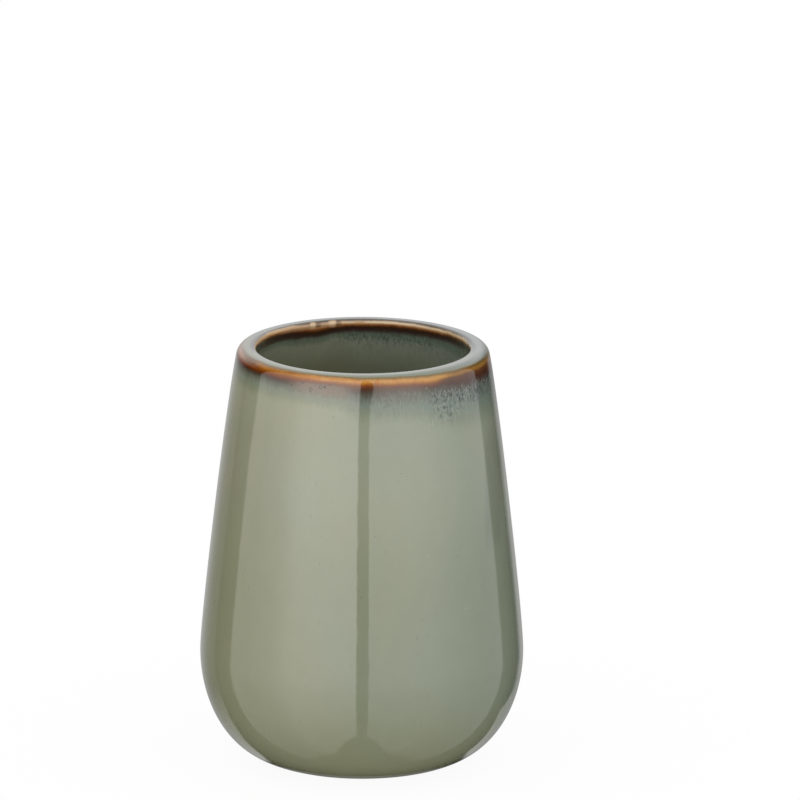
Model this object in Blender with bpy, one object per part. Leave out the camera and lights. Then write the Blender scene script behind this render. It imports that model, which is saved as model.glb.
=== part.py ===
"""A glazed stoneware tumbler for toothbrushes, standing on four anti-slip pads.

Metres, with +Z up and the front towards -Y. The origin lies under the middle of the cup,
on the surface that the pads stand on.
"""

import math

import bmesh
import bpy
from mathutils import Vector
from mathutils.geometry import interpolate_bezier

# The whole object
HEIGHT = 0.105
SEGMENTS = 64

# Outside of the cup, from the foot ring up
FOOT_RADIUS = 0.0215
FOOT_RING_WIDTH = 0.0025
FOOT_RING_HEIGHT = 0.0005
FOOT_EDGE_ROUND = 0.0003
UNDERSIDE_LEAN = 0.0
UNDERSIDE_PULL_SHARE = 0.579
BELLY_RADIUS = 0.040
BELLY_HEIGHT = 0.0277
BELLY_LOWER_PULL_SHARE = 0.537
BELLY_UPPER_PULL_SHARE = 0.105
SHOULDER_LEAN = math.radians(11.0)
SHOULDER_PULL_SHARE = 0.17

# Lip
MOUTH_RADIUS = 0.0261
LIP_THICKNESS = 0.0051
LIP_OUTER_ROUND_SHARE = 0.512
LIP_INNER_ROUND_SHARE = 0.21

# Inside of the cup
WALL = 0.0054
FLOOR_THICKNESS = 0.0057
FLOOR_FLAT_RADIUS = 0.018
INNER_CORNER_PULL_SHARE = 0.6

# Anti-slip pads, stuck to the recess inside the foot ring
PAD_SIDES = ("front", "right", "back", "left")
PAD_RADIUS = 0.0045
PAD_THICKNESS = 0.0020
PAD_PROUD = 0.0007
PAD_EDGE_ROUND = 0.0004
PAD_RING_CLEARANCE = 0.0010
PAD_SEGMENTS = 32
SEAT_GAP = 0.0003

# How finely the turned profile is drawn
UNDERSIDE_POINTS = 12
FLANK_POINTS = 8
LIP_POINTS = 6
EDGE_POINTS = 3
WELD_DISTANCE = 1e-6
SHARP_ANGLE = math.radians(40.0)

# Linear base colours
GLAZE_COLOUR = (0.215, 0.235, 0.150, 1.0)
PAD_COLOUR = (0.55, 0.56, 0.54, 1.0)

OUTWARD = Vector((1.0, 0.0, 0.0))
UPWARD = Vector((0.0, 0.0, 1.0))


def clear_scene():
    for thing in list(bpy.data.objects):
        bpy.data.objects.remove(thing, do_unlink=True)


def make_material(name, colour, roughness):
    material = bpy.data.materials.new(name)
    material.use_nodes = True
    shader = material.node_tree.nodes["Principled BSDF"]
    shader.inputs["Base Color"].default_value = colour
    shader.inputs["Roughness"].default_value = roughness
    shader.inputs["Metallic"].default_value = 0.0
    return material


def place(radius, height):
    """A point of the profile, which lies in the plane through the axis and +X."""
    return OUTWARD * radius + UPWARD * height


def heading(angle):
    """The direction at this angle above straight outwards."""
    return OUTWARD * math.cos(angle) + UPWARD * math.sin(angle)


def arc(centre, radius, first_angle, last_angle, points):
    """A round stretch of the profile, both ends included."""
    step = (last_angle - first_angle) / (points - 1)
    return [centre + heading(first_angle + step * index) * radius for index in range(points)]


def sweep(start, start_pull, end, end_pull, points):
    """A smooth stretch of the profile that leaves its ends along the two pulls."""
    return list(interpolate_bezier(start, start + start_pull, end + end_pull, end, points))


def recess_ceiling():
    """Height of the flat face that the pads are stuck to."""
    return PAD_THICKNESS + SEAT_GAP


def recess_radius():
    return FOOT_RADIUS - FOOT_RING_WIDTH


def foot_profile():
    """From the axis out along the recess, and round the foot ring to where the glaze starts."""
    inner_edge = place(recess_radius() + FOOT_EDGE_ROUND, PAD_PROUD + FOOT_EDGE_ROUND)
    outer_edge = place(FOOT_RADIUS - FOOT_EDGE_ROUND, PAD_PROUD + FOOT_EDGE_ROUND)
    return (
        [place(0.0, recess_ceiling()), place(recess_radius(), recess_ceiling())]
        + arc(inner_edge, FOOT_EDGE_ROUND, -math.pi, -math.pi / 2, EDGE_POINTS)
        + arc(outer_edge, FOOT_EDGE_ROUND, -math.pi / 2, 0.0, EDGE_POINTS)
    )


def lip_profile():
    """Over the lip, from the lean of the flank outside to the same lean inside."""
    outer_round = LIP_THICKNESS * LIP_OUTER_ROUND_SHARE
    inner_round = LIP_THICKNESS * LIP_INNER_ROUND_SHARE
    outer_centre = place(MOUTH_RADIUS + LIP_THICKNESS - outer_round, HEIGHT - outer_round)
    inner_centre = place(MOUTH_RADIUS + inner_round, HEIGHT - inner_round)
    return (
        arc(outer_centre, outer_round, SHOULDER_LEAN, math.pi / 2, LIP_POINTS)
        + arc(inner_centre, inner_round, math.pi / 2, math.pi + SHOULDER_LEAN, LIP_POINTS)
    )


def flank(belly, lip_end):
    """One side of the wall, from the belly up to where the lip starts."""
    rise = lip_end.z - belly.z
    down_the_flank = heading(SHOULDER_LEAN - math.pi / 2)
    return sweep(
        belly,
        UPWARD * rise * BELLY_UPPER_PULL_SHARE,
        lip_end,
        down_the_flank * rise * SHOULDER_PULL_SHARE,
        FLANK_POINTS,
    )


def underside_profile():
    """The round underside, from the top of the foot ring out to the belly."""
    start = place(FOOT_RADIUS, PAD_PROUD + FOOT_RING_HEIGHT)
    belly = place(BELLY_RADIUS, BELLY_HEIGHT)
    return sweep(
        start,
        heading(UNDERSIDE_LEAN) * (belly.x - start.x) * UNDERSIDE_PULL_SHARE,
        belly,
        -UPWARD * (belly.z - start.z) * BELLY_LOWER_PULL_SHARE,
        UNDERSIDE_POINTS,
    )


def floor_profile():
    """The inside, from the belly down round the corner and along the floor to the axis."""
    belly = place(BELLY_RADIUS - WALL, BELLY_HEIGHT)
    floor_edge = place(FLOOR_FLAT_RADIUS, recess_ceiling() + FLOOR_THICKNESS)
    corner = sweep(
        belly,
        -UPWARD * (belly.z - floor_edge.z) * INNER_CORNER_PULL_SHARE,
        floor_edge,
        OUTWARD * (belly.x - floor_edge.x) * INNER_CORNER_PULL_SHARE,
        UNDERSIDE_POINTS,
    )
    return corner + [place(0.0, floor_edge.z)]


def cup_profile():
    lip = lip_profile()
    outer_flank = flank(place(BELLY_RADIUS, BELLY_HEIGHT), lip[0])
    inner_flank = flank(place(BELLY_RADIUS - WALL, BELLY_HEIGHT), lip[-1])
    return (
        foot_profile()
        + underside_profile()
        + outer_flank[1:-1]
        + lip
        + inner_flank[-2:0:-1]
        + floor_profile()
    )


def turned_mesh(name, profile):
    """The solid that a profile with both ends on the Z axis sweeps out in a full turn."""
    shape = bmesh.new()
    corners = [shape.verts.new(point) for point in profile]
    edges = [shape.edges.new(pair) for pair in zip(corners, corners[1:])]
    bmesh.ops.spin(
        shape,
        geom=corners + edges,
        cent=(0.0, 0.0, 0.0),
        axis=UPWARD,
        angle=math.tau,
        steps=SEGMENTS,
        use_merge=True,
    )
    bmesh.ops.remove_doubles(shape, verts=shape.verts, dist=WELD_DISTANCE)
    bmesh.ops.recalc_face_normals(shape, faces=shape.faces)
    mesh = bpy.data.meshes.new(name)
    shape.to_mesh(mesh)
    shape.free()
    mesh.shade_smooth()
    mesh.set_sharp_from_angle(angle=SHARP_ANGLE)
    return mesh


def disc_mesh(name):
    """A pad's plain disc, with its underside at height zero."""
    shape = bmesh.new()
    bmesh.ops.create_cone(
        shape,
        cap_ends=True,
        segments=PAD_SEGMENTS,
        radius1=PAD_RADIUS,
        radius2=PAD_RADIUS,
        depth=PAD_THICKNESS,
    )
    bmesh.ops.translate(shape, verts=shape.verts, vec=UPWARD * PAD_THICKNESS / 2)
    mesh = bpy.data.meshes.new(name)
    shape.to_mesh(mesh)
    shape.free()
    mesh.shade_smooth()
    mesh.set_sharp_from_angle(angle=SHARP_ANGLE)
    return mesh


def add_object(name, mesh, material):
    thing = bpy.data.objects.new(name, mesh)
    thing.data.materials.append(material)
    bpy.context.scene.collection.objects.link(thing)
    return thing


def make_cup():
    glaze = make_material("green_glaze", GLAZE_COLOUR, 0.12)
    return add_object("stoneware_cup", turned_mesh("stoneware_cup", cup_profile()), glaze)


def make_pads(cup):
    """Equal pads on a circle that keeps them clear of the foot ring, one on each side."""
    mesh = disc_mesh("foot_pad")
    circle_radius = recess_radius() - PAD_RING_CLEARANCE - PAD_RADIUS
    for index, side in enumerate(PAD_SIDES):
        silicone = make_material(f"silicone_{side}", PAD_COLOUR, 0.5)
        pad = add_object(f"foot_pad_{side}", mesh.copy(), silicone)
        turn = math.tau * index / len(PAD_SIDES) - math.pi / 2
        pad.location = (circle_radius * math.cos(turn), circle_radius * math.sin(turn), 0.0)
        pad.parent = cup
        rounding = pad.modifiers.new("rounded_edges", "BEVEL")
        rounding.width = PAD_EDGE_ROUND
        rounding.segments = 2
        rounding.limit_method = "ANGLE"


clear_scene()
make_pads(make_cup())
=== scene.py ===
"""The glazed stoneware bathroom tumbler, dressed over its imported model.

Metres, +Z up, front towards -Y, on a pale floor at height zero.
"""

import math

import bmesh
import bpy
from mathutils import Matrix, Vector


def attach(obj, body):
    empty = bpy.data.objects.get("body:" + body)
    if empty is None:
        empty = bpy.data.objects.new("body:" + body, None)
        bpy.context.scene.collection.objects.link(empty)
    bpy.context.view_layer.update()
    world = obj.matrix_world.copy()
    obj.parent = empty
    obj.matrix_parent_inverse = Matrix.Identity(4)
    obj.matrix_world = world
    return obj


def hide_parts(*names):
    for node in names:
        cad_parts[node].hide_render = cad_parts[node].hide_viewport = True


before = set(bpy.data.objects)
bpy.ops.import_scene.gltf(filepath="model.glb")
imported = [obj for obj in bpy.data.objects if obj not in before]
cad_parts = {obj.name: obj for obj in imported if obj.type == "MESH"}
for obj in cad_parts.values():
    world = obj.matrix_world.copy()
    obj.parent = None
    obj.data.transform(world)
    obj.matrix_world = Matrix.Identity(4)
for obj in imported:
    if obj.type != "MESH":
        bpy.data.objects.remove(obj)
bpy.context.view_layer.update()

# The cup
# One stoneware body, cast and turned: a flat recess underneath, a narrow foot ring, a full
# belly, nearly straight flanks and a thick round lip. It is drawn as one turned profile that
# starts under the middle, goes round the foot and up outside, over the lip and down inside.

CUP_SIZES = {
    "Height": 0.105,
    "Foot Radius": 0.0215,
    "Foot Ring Width": 0.0025,
    "Foot Ring Base": 0.0007,
    "Foot Ring Top": 0.0012,
    "Foot Edge Round": 0.0003,
    "Recess Height": 0.0023,
    "Underside Lean": 0.0,
    "Underside Pull": 0.579,
    "Belly Radius": 0.040,
    "Belly Height": 0.0277,
    "Belly Lower Pull": 0.537,
    "Belly Upper Pull": 0.105,
    "Shoulder Lean": math.radians(11.0),
    "Shoulder Pull": 0.17,
    "Mouth Radius": 0.0261,
    "Lip Thickness": 0.0051,
    "Lip Outer Round": 0.002611,
    "Lip Inner Round": 0.001071,
    "Wall": 0.0054,
    "Floor Height": 0.0080,
    "Floor Radius": 0.018,
    "Inner Corner Pull": 0.6,
    "Glaze Roll": 0.00012,
    "Glaze Roll Width": 0.0011,
    "Glaze Start": 0.004,
    "Unevenness": 0.00007,
    "Unevenness Size": 0.024,
    "Around": 288,
    "Flank Rows": 96,
    "Underside Rows": 40,
    "Lip Rows": 16,
    "Flat Rows": 5,
    "Edge Rows": 4,
}
CURVE_STEPS = 900
WELD_DISTANCE = 2e-6
SHARP_ANGLE = math.radians(50.0)
QUARTER = math.pi / 2
LIP_MARK = "from_crest"


class Wire:
    """One output of a node tree. Arithmetic on wires adds the Math nodes that work it out."""

    def __init__(self, tree, socket=None):
        self.tree = tree
        self.socket = socket

    def node(self, kind, settings=None, sockets=None, out=0):
        """A new node in the same tree: its settings first, then values or links for its sockets."""
        new = self.tree.nodes.new(kind)
        for name, value in (settings or {}).items():
            if name == "stops":
                lay_stops(new.color_ramp, value)
            else:
                setattr(new, name, value)
        for name, value in (sockets or {}).items():
            for one in value if isinstance(value, list) else [value]:
                if isinstance(one, Wire):
                    self.tree.links.new(one.socket, new.inputs[name])
                else:
                    new.inputs[name].default_value = one
        return Wire(self.tree, new.outputs[out] if new.outputs else None)

    def beside(self, name):
        """Another output of the node that this wire comes from."""
        return Wire(self.tree, self.socket.node.outputs[name])

    def math(self, operation, *values):
        return self.node("ShaderNodeMath", {"operation": operation}, dict(enumerate(values)))

    def __add__(self, other):
        return self.math("ADD", self, other)

    def __radd__(self, other):
        return self.math("ADD", other, self)

    def __sub__(self, other):
        return self.math("SUBTRACT", self, other)

    def __rsub__(self, other):
        return self.math("SUBTRACT", other, self)

    def __mul__(self, other):
        return self.math("MULTIPLY", self, other)

    def __rmul__(self, other):
        return self.math("MULTIPLY", other, self)

    def __truediv__(self, other):
        return self.math("DIVIDE", self, other)

    def __rtruediv__(self, other):
        return self.math("DIVIDE", other, self)

    def __neg__(self):
        return self.math("MULTIPLY", self, -1.0)

    def __abs__(self):
        return self.math("ABSOLUTE", self)

    def rise(self, low, high):
        """0 below low, 1 above high and an easy slope between them."""
        return self.node(
            "ShaderNodeMapRange",
            {"interpolation_type": "SMOOTHSTEP"},
            {"Value": self, "From Min": low, "From Max": high},
        )

    def hump(self, low, full_from, full_to, high):
        """1 from full_from to full_to, easing to 0 at low and at high."""
        return self.rise(low, full_from) * (1.0 - self.rise(full_to, high))


def lay_stops(ramp, stops):
    """Gives a colour ramp its stops, as pairs of position and colour."""
    while len(ramp.elements) > 1:
        ramp.elements.remove(ramp.elements[-1])
    for index, (position, colour) in enumerate(stops):
        element = ramp.elements.new(position) if index else ramp.elements[0]
        element.position = position
        element.color = (*colour, 1.0)


def new_shape(name, sizes):
    """A Geometry Nodes tree with an input for each size and one for its material, as wires."""
    tree = bpy.data.node_groups.new(name, "GeometryNodeTree")
    kinds = {int: "NodeSocketInt", float: "NodeSocketFloat"}
    for label, value in sizes.items():
        tree.interface.new_socket(name=label, in_out="INPUT", socket_type=kinds[type(value)])
    tree.interface.new_socket(name="Material", in_out="INPUT", socket_type="NodeSocketMaterial")
    entry = Wire(tree).node("NodeGroupInput")
    return {label: entry.beside(label) for label in [*sizes, "Material"]}


def made_piece(name, sizes, material, last):
    """Ends a tree with this wire's geometry, and leaves what it makes as a plain mesh piece."""
    tree = last.tree
    tree.interface.new_socket(name="Mesh", in_out="OUTPUT", socket_type="NodeSocketGeometry")
    last.node("NodeGroupOutput", None, {"Mesh": last})
    piece = bpy.data.objects.new(name, bpy.data.meshes.new(name))
    bpy.context.scene.collection.objects.link(piece)
    shaping = piece.modifiers.new("shaping", "NODES")
    shaping.node_group = tree
    values = {**sizes, "Material": material}
    for item in tree.interface.items_tree:
        if item.in_out == "INPUT":
            shaping[item.identifier] = values[item.name]
    shaped = piece.evaluated_get(bpy.context.evaluated_depsgraph_get())
    mesh = bpy.data.meshes.new_from_object(shaped)
    piece.modifiers.remove(shaping)
    piece.data = mesh
    mesh.name = name
    mesh.set_sharp_from_angle(angle=SHARP_ANGLE)
    return piece


def turned_profile(size, stretches):
    """Turns a chain of profile stretches about Z. Returns the joined mesh and the stretches' ends.

    A stretch is its start, the pulls on its two ends, its end, and how many rows it gets. The
    points are pairs of radius and height. Each corner keeps how far along the profile it lies.
    """
    run = 0.0
    ends = []
    bands = []
    for start, start_pull, end_pull, end, rows in stretches:
        first = size["Around"]
        profile = first.node(
            "GeometryNodeCurvePrimitiveBezierSegment",
            {"mode": "OFFSET"},
            {
                "Resolution": CURVE_STEPS,
                "Start": spot(first, start),
                "Start Handle": spot(first, start_pull),
                "End Handle": spot(first, end_pull),
                "End": spot(first, end),
            },
        )
        length = first.node("GeometryNodeCurveLength", None, {"Curve": profile})
        grid = first.node(
            "GeometryNodeMeshGrid",
            None,
            {"Size X": 1.0, "Size Y": 1.0, "Vertices X": first + 1.0, "Vertices Y": rows + 1.0},
        )
        across = first.node("ShaderNodeSeparateXYZ", None, {0: first.node("GeometryNodeInputPosition")})
        turn = (across + 0.5) * math.tau
        along = across.beside("Y") + 0.5
        sample = first.node(
            "GeometryNodeSampleCurve",
            {"mode": "FACTOR", "use_all_curves": True},
            {"Curves": profile, "Factor": along},
            out="Position",
        )
        radius = first.node("ShaderNodeSeparateXYZ", None, {0: sample})
        turned = first.node(
            "ShaderNodeCombineXYZ",
            None,
            {
                "X": radius * turn.math("COSINE", turn),
                "Y": radius * turn.math("SINE", turn),
                "Z": radius.beside("Z"),
            },
        )
        marked = first.node(
            "GeometryNodeStoreNamedAttribute",
            {"data_type": "FLOAT", "domain": "POINT"},
            {"Geometry": grid, "Name": "run", "Value": length * along + run},
        )
        band = first.node("GeometryNodeSetPosition", None, {"Geometry": marked, "Position": turned})
        bands.append(band)
        run = length + run
        ends.append(run)
    whole = bands[0].node("GeometryNodeJoinGeometry", None, {0: bands})
    whole = whole.node("GeometryNodeMergeByDistance", None, {"Geometry": whole, "Distance": WELD_DISTANCE})
    return whole.node("GeometryNodeSetShadeSmooth", None, {"Geometry": whole}), ends


def spot(wire, point):
    """A pair of radius and height as a vector in the plane of X and Z."""
    return wire.node("ShaderNodeCombineXYZ", None, {"X": point[0], "Z": point[1]})


def straight(start, end, rows):
    pull = ((end[0] - start[0]) / 3.0, (end[1] - start[1]) / 3.0)
    return start, pull, (0.0 - pull[0], 0.0 - pull[1]), end, rows


def round_edge(centre, radius, first_angle, last_angle, rows):
    """An arc about a centre, from one angle above straight outwards to another."""
    pull = radius.math("TANGENT", (last_angle - first_angle) / 4.0) * (4.0 / 3.0) * radius
    first_sin = radius.math("SINE", first_angle)
    first_cos = radius.math("COSINE", first_angle)
    last_sin = radius.math("SINE", last_angle)
    last_cos = radius.math("COSINE", last_angle)
    return (
        (centre[0] + radius * first_cos, centre[1] + radius * first_sin),
        (pull * first_sin * -1.0, pull * first_cos),
        (pull * last_sin, pull * last_cos * -1.0),
        (centre[0] + radius * last_cos, centre[1] + radius * last_sin),
        rows,
    )


def backwards(stretch):
    start, start_pull, end_pull, end, rows = stretch
    return end, end_pull, start_pull, start, rows


def flank(size, belly_radius, lip_radius, lip_height):
    """One side of the wall, from the belly up to where the lip starts."""
    rise = lip_height - size["Belly Height"]
    lean = size["Shoulder Lean"]
    shoulder = rise * size["Shoulder Pull"]
    return (
        (belly_radius, size["Belly Height"]),
        (0.0, rise * size["Belly Upper Pull"]),
        (shoulder * lean.math("SINE", lean), shoulder * lean.math("COSINE", lean) * -1.0),
        (lip_radius, lip_height),
        size["Flank Rows"],
    )


def cup_stretches(size):
    """The cup's whole profile. RING_TOP and CREST say where two of its stretches are in the list."""
    edge = size["Foot Edge Round"]
    ring_base = size["Foot Ring Base"]
    recess_radius = size["Foot Radius"] - size["Foot Ring Width"]
    recess_corner = (recess_radius, size["Recess Height"])
    inner_centre = (recess_radius + edge, ring_base + edge)
    inner_edge = round_edge(inner_centre, edge, -2 * QUARTER, -QUARTER, size["Edge Rows"])
    outer_centre = (size["Foot Radius"] - edge, ring_base + edge)
    outer_edge = round_edge(outer_centre, edge, -QUARTER, 0.0, size["Edge Rows"])
    ring_top = (size["Foot Radius"], size["Foot Ring Top"])
    lean = size["Underside Lean"]
    pull = (size["Belly Radius"] - ring_top[0]) * size["Underside Pull"]
    belly_rise = size["Belly Height"] - ring_top[1]
    underside = (
        ring_top,
        (pull * lean.math("COSINE", lean), pull * lean.math("SINE", lean)),
        (0.0, belly_rise * size["Belly Lower Pull"] * -1.0),
        (size["Belly Radius"], size["Belly Height"]),
        size["Underside Rows"],
    )
    outer_round = size["Lip Outer Round"]
    inner_round = size["Lip Inner Round"]
    outer_lip = round_edge(
        (size["Mouth Radius"] + size["Lip Thickness"] - outer_round, size["Height"] - outer_round),
        outer_round,
        size["Shoulder Lean"],
        QUARTER,
        size["Lip Rows"],
    )
    inner_lip = round_edge(
        (size["Mouth Radius"] + inner_round, size["Height"] - inner_round),
        inner_round,
        QUARTER,
        size["Shoulder Lean"] + 2 * QUARTER,
        size["Lip Rows"],
    )
    inner_belly = size["Belly Radius"] - size["Wall"]
    corner_drop = size["Belly Height"] - size["Floor Height"]
    inner_corner = (
        (inner_belly, size["Belly Height"]),
        (0.0, corner_drop * size["Inner Corner Pull"] * -1.0),
        ((inner_belly - size["Floor Radius"]) * size["Inner Corner Pull"], 0.0),
        (size["Floor Radius"], size["Floor Height"]),
        size["Underside Rows"],
    )
    return [
        straight((0.0, size["Recess Height"]), recess_corner, size["Flat Rows"]),
        straight(recess_corner, inner_edge[0], size["Edge Rows"]),
        inner_edge,
        straight(inner_edge[3], outer_edge[0], size["Edge Rows"]),
        outer_edge,
        straight(outer_edge[3], ring_top, size["Edge Rows"]),
        underside,
        flank(size, size["Belly Radius"], *outer_lip[0]),
        outer_lip,
        straight(outer_lip[3], inner_lip[0], size["Edge Rows"]),
        inner_lip,
        backwards(flank(size, inner_belly, *inner_lip[3])),
        inner_corner,
        straight(inner_corner[3], (0.0, size["Floor Height"]), size["Flat Rows"]),
    ]


RING_TOP = 5
CREST = 9


def make_cup(material):
    size = new_shape("turned_cup", CUP_SIZES)
    turned, ends = turned_profile(size, cup_stretches(size))
    run = turned.node("GeometryNodeInputNamedAttribute", {"data_type": "FLOAT"}, {"Name": "run"})
    crest = (ends[CREST - 1] + ends[CREST]) / 2.0
    marked = turned.node(
        "GeometryNodeStoreNamedAttribute",
        {"data_type": "FLOAT", "domain": "POINT"},
        {"Geometry": turned, "Name": LIP_MARK, "Value": crest - run},
    )
    # The glaze stops above the foot ring in a low thick roll, and the wall is never quite true.
    above_ring = run - ends[RING_TOP]
    half = size["Glaze Roll Width"] * 0.5
    roll = above_ring.hump(0.0, half, half, size["Glaze Roll Width"]) * size["Glaze Roll"]
    place = turned.node("GeometryNodeInputPosition")
    swell = turned.node(
        "ShaderNodeTexNoise",
        None,
        {"Vector": place, "Scale": 1.0 / size["Unevenness Size"], "Detail": 1.0, "Roughness": 0.4},
    )
    glazed = above_ring.rise(0.0, size["Glaze Start"])
    push = roll - swell * glazed * size["Unevenness"]
    normal = turned.node("GeometryNodeInputNormal")
    offset = turned.node("ShaderNodeVectorMath", {"operation": "SCALE"}, {0: normal, "Scale": push})
    uneven = turned.node("GeometryNodeSetPosition", None, {"Geometry": marked, "Offset": offset})
    whole = turned.node("GeometryNodeRealizeInstances", None, {"Geometry": uneven})
    dressed = whole.node("GeometryNodeSetMaterial", None, {"Geometry": whole, "Material": size["Material"]})
    return made_piece("glazed_cup", CUP_SIZES, material, dressed)


# The glaze runs thin over the round of the lip, where it breaks to amber and brown, pools
# grey-green below it with blue-grey mottling and vertical flecks, and lies sage on the body.
# Below it the foot ring is bare fired clay.

MILLIMETRES = 1000.0
LIP_HALF = 0.031
FRONT_SLOPE = 0.010
CREST_EDGE = 0.05

# Each noise has the size of its features in millimetres, how far they are drawn out along the
# height, and a shift that keeps it from following another one.

WANDER = {"size_mm": 7.0, "detail": 3.0, "roughness": 0.55}
RUNS = {"size_mm": 0.9, "detail": 3.0, "roughness": 0.6, "stretch": 4.0, "shift": 3.0}
STREAKS = {"size_mm": 1.5, "stretch": 8.0, "shift": 53.0}
CLOUD = {"size_mm": 26.0, "stretch": 1.6, "shift": 7.0}
FINE_TONE = {"size_mm": 3.5, "detail": 4.0, "roughness": 0.6, "stretch": 1.5, "shift": 11.0}
PATCHES = {"size_mm": 15.0, "shift": 31.0}
TONGUES = {"size_mm": 3.0, "stretch": 3.0, "shift": 37.0}
SPECKS = {"size_mm": 0.40, "roughness": 0.60, "stretch": 2.4, "shift": 17.0}
BLOTCHES = {"size_mm": 1.6, "detail": 3.0, "roughness": 0.60, "stretch": 1.7, "shift": 19.0}
THREADS = {"size_mm": 0.55, "stretch": 7.0, "shift": 67.0}
SMUDGES = {"size_mm": 1.1, "stretch": 2.4, "shift": 61.0}
DASHES = {"size_mm": 0.55, "roughness": 0.55, "stretch": 4.0, "shift": 41.0}
CLAY_GRAIN = {"size_mm": 0.5, "detail": 4.0, "roughness": 0.6, "shift": 23.0}
RIPPLE = {"size_mm": 5.0, "shift": 29.0}


def finish_of(name, paint):
    """A material whose shader takes what paint gives it, socket by socket."""
    material = bpy.data.materials.new(name)
    material.use_nodes = True
    tree = material.node_tree
    shader = tree.nodes["Principled BSDF"]
    for socket, value in paint(Wire(tree)).items():
        if isinstance(value, Wire):
            tree.links.new(value.socket, shader.inputs[socket])
        else:
            shader.inputs[socket].default_value = value
    return material


def shown(mask, under, over):
    """The colour under where a mask is 0, and the colour over where it is 1."""
    opaque = [value if isinstance(value, Wire) else (*value, 1.0) for value in (under, over)]
    return mask.node("ShaderNodeMix", {"data_type": "RGBA"}, {0: mask, 6: opaque[0], 7: opaque[1]}, out=2)


def shown_value(mask, under, over):
    """The number under where a mask is 0, and the number over where it is 1."""
    return under + (over - under) * mask


def tinted(colour, tint):
    return colour.node("ShaderNodeVectorMath", {"operation": "MULTIPLY"}, {0: colour, 1: tint})


def lightened(colour, amount):
    return colour.node("ShaderNodeVectorMath", {"operation": "SCALE"}, {0: colour, "Scale": amount})


def stepped(wire, steps, first=0.0):
    """Starts at first, and changes along the wire by each step: its two ends and what it adds."""
    total = first
    for low, high, change in steps:
        total = wire.rise(low, high) * change + total
    return total


def mottle(place, size_mm, detail=2.0, roughness=0.5, stretch=1.0, shift=0.0):
    """Noise with features about this many millimetres across, and taller by the stretch."""
    scale = MILLIMETRES / size_mm
    scaled = place.node(
        "ShaderNodeMapping",
        None,
        {
            "Vector": place,
            "Location": (shift, -shift, shift / 2.0),
            "Scale": (scale, scale, scale / stretch),
        },
    )
    return place.node(
        "ShaderNodeTexNoise",
        None,
        {"Vector": scaled, "Scale": 1.0, "Detail": detail, "Roughness": roughness},
    )


# How the bands of the glaze run round the cup. Places across it are shares of the lip's half
# width, from -1 at the left to 1 at the right, and depths below the crest are in millimetres. A
# window rises between its first two numbers and falls between its last two.

SAG_FIRST = -0.40
SAG_STEPS = [
    (-0.68, -0.82, -0.15),
    (-0.50, -0.30, 0.14),
    (-0.40, 0.10, 0.40),
    (0.25, 0.60, 0.45),
    (0.80, 0.95, 0.30),
]
SPREAD_BELOW = 4.6
SPREAD_STEPS = [(0.0, -0.25, 0.5), (0.40, 0.80, -0.32)]
WANDER_DEPTH = 0.9
RUN_DEPTH = 0.35
FRAY_DEPTH = 2.6
FRAY_WINDOW = (4.6, 7.5, 12.0, 20.0)
INNER_SLACK_STEPS = [(-0.16, -0.38, 0.22), (-0.52, -0.70, -0.12)]
INNER_EARLY_STEPS = [(-0.28, -0.66, 0.50), (-0.70, -0.82, -0.16)]


class CupWires:
    """Where a point of the cup lies and how the glaze runs there, as wires for its paint."""

    def __init__(self, start):
        self.place = start.node("ShaderNodeTexCoord", out="Object")
        self.side = start.node("ShaderNodeSeparateXYZ", None, {0: self.place})
        self.across = self.side / LIP_HALF
        self.front = self.side.beside("Y").rise(0.0, -FRONT_SLOPE)
        self.back = self.side.beside("Y").rise(0.0, FRONT_SLOPE)
        self.height = self.side.beside("Z") * MILLIMETRES
        mark = start.node("ShaderNodeAttribute", {"attribute_name": LIP_MARK}, out="Fac")
        from_crest = mark * MILLIMETRES
        self.inside = from_crest.rise(CREST_EDGE, -CREST_EDGE)
        self.outside = 1.0 - self.inside
        self.depth = abs(from_crest)
        self.wander = mottle(self.place, **WANDER) - 0.5
        self.runs = mottle(self.place, **RUNS) - 0.5
        self.fine_tone = mottle(self.place, **FINE_TONE) - 0.5
        self.specks = mottle(self.place, **SPECKS)
        self.blotches = mottle(self.place, **BLOTCHES)
        self.broken = self.band_depth()

    def band_depth(self):
        """The depth that the bands go by: it sags, wanders and frays, and spreads lower down."""
        sag = stepped(self.across, SAG_STEPS, SAG_FIRST) * self.outside
        frayed = self.runs * (RUN_DEPTH + self.depth.hump(*FRAY_WINDOW) * FRAY_DEPTH)
        broken = self.depth - sag + self.wander * WANDER_DEPTH + frayed
        below = broken - SPREAD_BELOW
        return broken + below.math("MAXIMUM", below, 0.0) * stepped(self.across, SPREAD_STEPS)


CREST_GLAZE = (0.190, 0.208, 0.148)
SAGE = (0.258, 0.275, 0.196)
BAND_REACH = 20.0
OUTER_BAND = [
    (0.00, CREST_GLAZE),
    (1.72, CREST_GLAZE),
    (1.92, (0.195, 0.180, 0.100)),
    (2.12, (0.165, 0.110, 0.040)),
    (2.32, (0.200, 0.110, 0.028)),
    (2.58, (0.310, 0.155, 0.030)),
    (2.88, (0.440, 0.202, 0.037)),
    (3.18, (0.475, 0.205, 0.032)),
    (3.48, (0.420, 0.172, 0.022)),
    (3.78, (0.310, 0.112, 0.012)),
    (4.08, (0.215, 0.063, 0.007)),
    (4.38, (0.145, 0.036, 0.005)),
    (4.75, (0.102, 0.027, 0.006)),
    (5.15, (0.074, 0.024, 0.009)),
    (5.60, (0.058, 0.033, 0.021)),
    (6.10, (0.066, 0.060, 0.043)),
    (7.00, (0.105, 0.112, 0.086)),
    (8.00, (0.135, 0.154, 0.120)),
    (9.00, (0.166, 0.198, 0.152)),
    (10.5, (0.190, 0.215, 0.155)),
    (12.5, (0.222, 0.244, 0.168)),
    (15.0, SAGE),
]
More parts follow.
